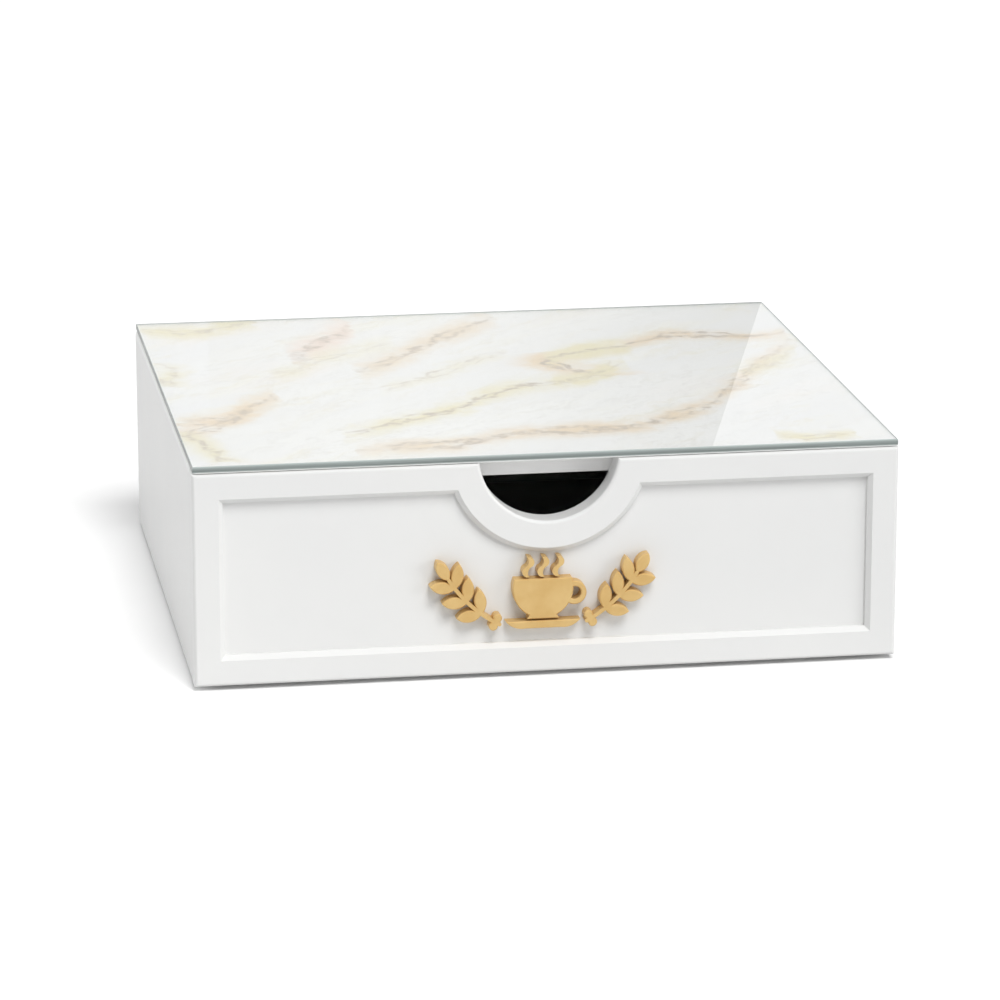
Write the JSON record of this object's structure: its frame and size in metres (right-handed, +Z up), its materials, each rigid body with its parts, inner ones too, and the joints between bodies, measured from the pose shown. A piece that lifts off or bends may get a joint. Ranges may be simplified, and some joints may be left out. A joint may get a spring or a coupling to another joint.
{
  "type": "coffee capsule drawer",
  "caption": "Low white box with one sliding drawer for coffee capsules, a half-round finger notch in a raised frame, a gold ornament and a glass top over a marble print.",
  "frame": {"origin": "under the middle of the whole object, on the surface that it stands on", "axes": "+X to the right, +Y to the back, +Z up; the drawer's front faces -Y and it opens along -Y"},
  "size_m": [0.33, 0.3, 0.1069],
  "materials": {
    "white_paint_on_board": "satin white paint on fibreboard",
    "bare_beech": "bare turned wood",
    "clear_glass": "polished float glass",
    "marble_print": "satin print, white marble with gold veins",
    "foam_tape": "white foam",
    "soft_pad": "soft foam pad",
    "gold_ornament": "satin gold"
  },
  "bodies": {
    "case": {"case_left_side": "white_paint_on_board", "case_right_side": "white_paint_on_board", "case_bottom": "white_paint_on_board", "case_top": "white_paint_on_board", "case_back": "white_paint_on_board", "foot_front_left": "soft_pad", "foot_front_right": "soft_pad", "foot_back_left": "soft_pad", "foot_back_right": "soft_pad", "glass_tape_strips": "foam_tape", "marble_film": "marble_print", "glass_top": "clear_glass"},
    "drawer": {"drawer_front_board": "white_paint_on_board", "drawer_front_frame": "white_paint_on_board", "drawer_left_side": "white_paint_on_board", "drawer_right_side": "white_paint_on_board", "drawer_back": "white_paint_on_board", "drawer_bottom": "white_paint_on_board", "drawer_dowels": "bare_beech", "ornament_cup": "gold_ornament", "ornament_saucer": "gold_ornament", "ornament_steam": "gold_ornament", "ornament_left_sprig": "gold_ornament", "ornament_right_sprig": "gold_ornament"}
  },
  "joints": [
    {"name": "drawer_slide", "type": "slide", "parent": "case", "child": "drawer", "axis": [0, -1, 0], "range_m": [0, 0.24]}
  ]
}
